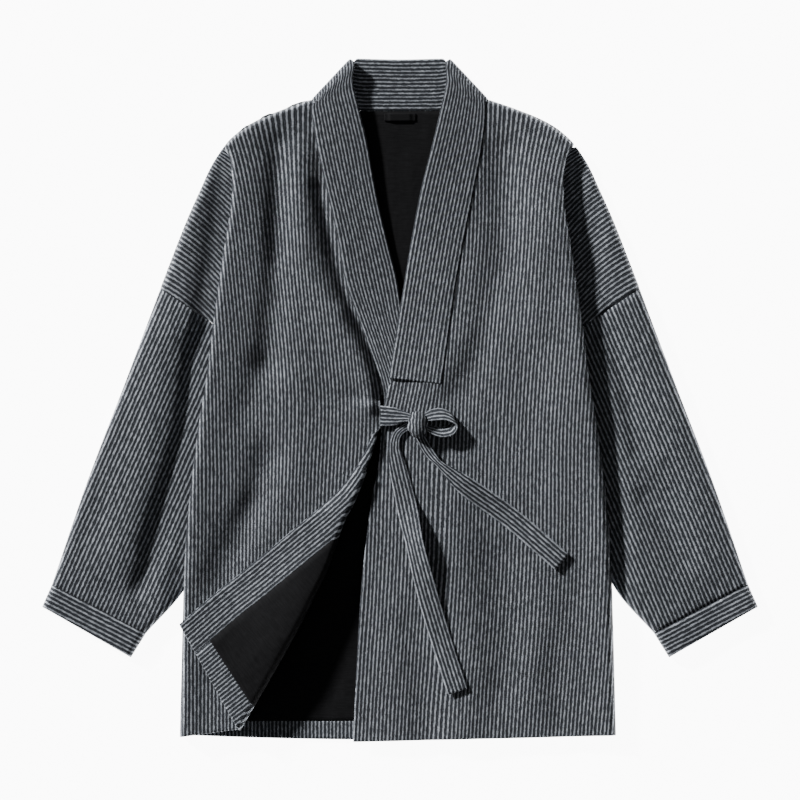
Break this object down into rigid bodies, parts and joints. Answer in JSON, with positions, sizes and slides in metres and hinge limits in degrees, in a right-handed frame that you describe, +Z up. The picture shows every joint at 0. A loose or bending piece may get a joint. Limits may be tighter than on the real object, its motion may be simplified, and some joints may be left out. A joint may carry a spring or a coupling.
{
  "type": "hanfu jacket",
  "caption": "Striped cross-collar hanfu jacket with a dark lining, laid flat, its front tied with a half bow and one lower corner turned back",
  "frame": {"origin": "centre of the jacket's plan, on the surface it lies on", "axes": "+X towards the wearer's left sleeve, +Y towards the collar, +Z up, away from the surface"},
  "size_m": [0.86, 0.8201, 0.0404],
  "materials": {
    "striped_cloth": "matte yarn-dyed ribbed stripe, grey-blue and near black",
    "lining_cloth": "matte black plain weave",
    "hanger_tape": "matte black woven tape"
  },
  "bodies": {
    "root": {"back": "striped_cloth", "back_lining": "lining_cloth", "back_hem_facing": "striped_cloth", "hanger_loop": "hanger_tape", "front_left": "striped_cloth", "front_right": "striped_cloth", "front_right_lining": "lining_cloth", "front_right_facing": "striped_cloth", "front_right_hem_facing": "striped_cloth", "sleeve_left_upper": "striped_cloth", "sleeve_left_lower": "striped_cloth", "sleeve_right_upper": "striped_cloth", "sleeve_right_lower": "striped_cloth", "cuff_left": "striped_cloth", "cuff_right": "striped_cloth", "collar": "striped_cloth", "tie_strap": "striped_cloth", "tie_knot": "striped_cloth", "tie_loop": "striped_cloth", "tie_tail_down": "striped_cloth", "tie_tail_slant": "striped_cloth"}
  },
  "joints": []
}
